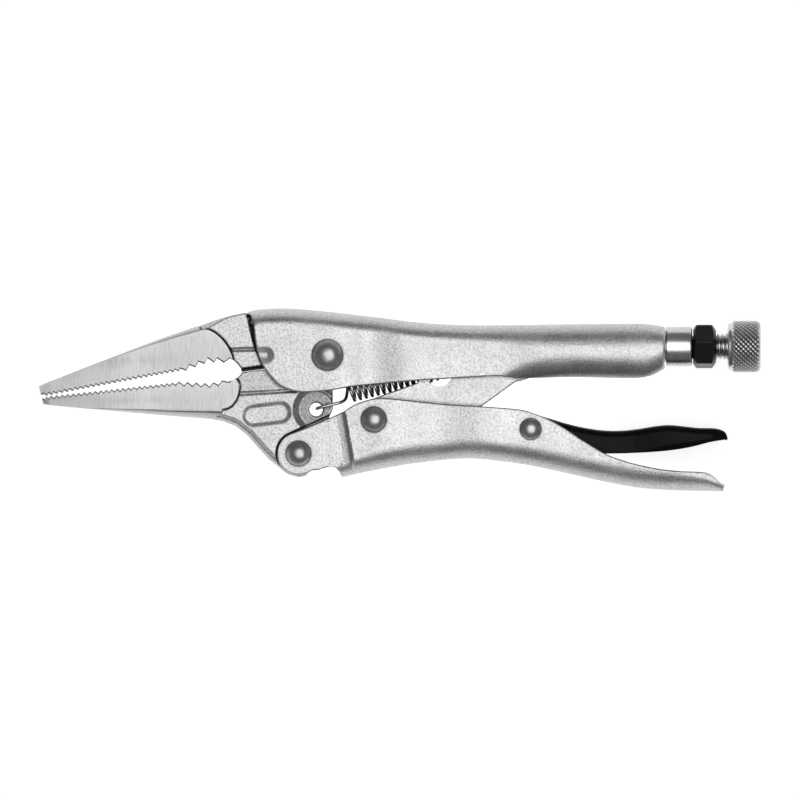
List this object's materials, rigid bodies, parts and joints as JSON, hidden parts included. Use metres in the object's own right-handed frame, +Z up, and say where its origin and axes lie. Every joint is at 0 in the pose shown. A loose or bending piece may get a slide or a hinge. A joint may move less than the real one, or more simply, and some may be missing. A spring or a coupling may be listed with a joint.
{
  "type": "locking pliers",
  "caption": "Long-nose locking pliers with toggle linkage, release lever, opening spring and a knurled adjusting screw with lock nut.",
  "frame": {"origin": "middle of the footprint, on the surface that the pliers lie on", "axes": "+X from the nose back to the adjusting knob, +Y from the moving handle to the fixed handle, +Z up out of the side that shows"},
  "size_m": [0.2276, 0.0575, 0.0232],
  "materials": {
    "satin_nickel": "blasted plate with satin nickel plating, fine pearly grain",
    "ground_steel": "forged and nickel plated, nose flats ground across",
    "bright_steel": "bright nickel plated turning",
    "rivet_steel": "dark smooth domed heads",
    "spring_steel": "drawn wire, dark",
    "black_coat": "glossy black oxide"
  },
  "bodies": {
    "fixed_frame": {"upper_handle": "satin_nickel", "fixed_jaw": "ground_steel", "threaded_collar": "bright_steel", "main_pivot_rivet": "rivet_steel", "opening_spring": "spring_steel"},
    "jaw": {"movable_jaw": "ground_steel"},
    "handle": {"lower_handle": "satin_nickel", "jaw_rivet": "rivet_steel", "toggle_rivet": "rivet_steel", "lever_rivet": "rivet_steel"},
    "link": {"toggle_link": "satin_nickel"},
    "lever": {"release_lever": "black_coat"},
    "nut": {"lock_nut": "black_coat"},
    "screw": {"adjusting_screw": "bright_steel"}
  },
  "joints": [
    {"name": "jaw_hinge", "type": "hinge", "parent": "fixed_frame", "child": "jaw", "pos_m": [-0.02285, 0.0141, 0.0116], "axis": [0, 0, 1], "range_deg": [0, 18], "deforming": ["opening_spring"]},
    {"name": "handle_hinge", "type": "hinge", "parent": "jaw", "child": "handle", "pos_m": [-0.03195, -0.0169, 0.0116], "axis": [0, 0, 1], "range_deg": [-67, 0]},
    {"name": "toggle_hinge", "type": "hinge", "parent": "handle", "child": "link", "pos_m": [-0.00825, -0.0062, 0.0116], "axis": [0, 0, 1], "range_deg": [0, 77]},
    {"name": "lever_hinge", "type": "hinge", "parent": "handle", "child": "lever", "pos_m": [0.04115, -0.0092, 0.0116], "axis": [0, 0, 1], "range_deg": [-7, 0]},
    {"name": "screw_turn", "type": "hinge", "parent": "fixed_frame", "child": "nut", "pos_m": [0.09235, 0.0168, 0.0116], "axis": [1, 0, 0], "range_deg": [0, 7200]},
    {"name": "screw_travel", "type": "slide", "parent": "nut", "child": "screw", "axis": [1, 0, 0], "range_m": [0, 0.025]}
  ],
  "couplings": [
    {"joint": "jaw_hinge", "follows": "handle_hinge", "ratio": -0.26866},
    {"joint": "toggle_hinge", "follows": "handle_hinge", "ratio": -1.149},
    {"joint": "screw_turn", "follows": "screw_travel", "rad_per_m": 5026.5}
  ]
}
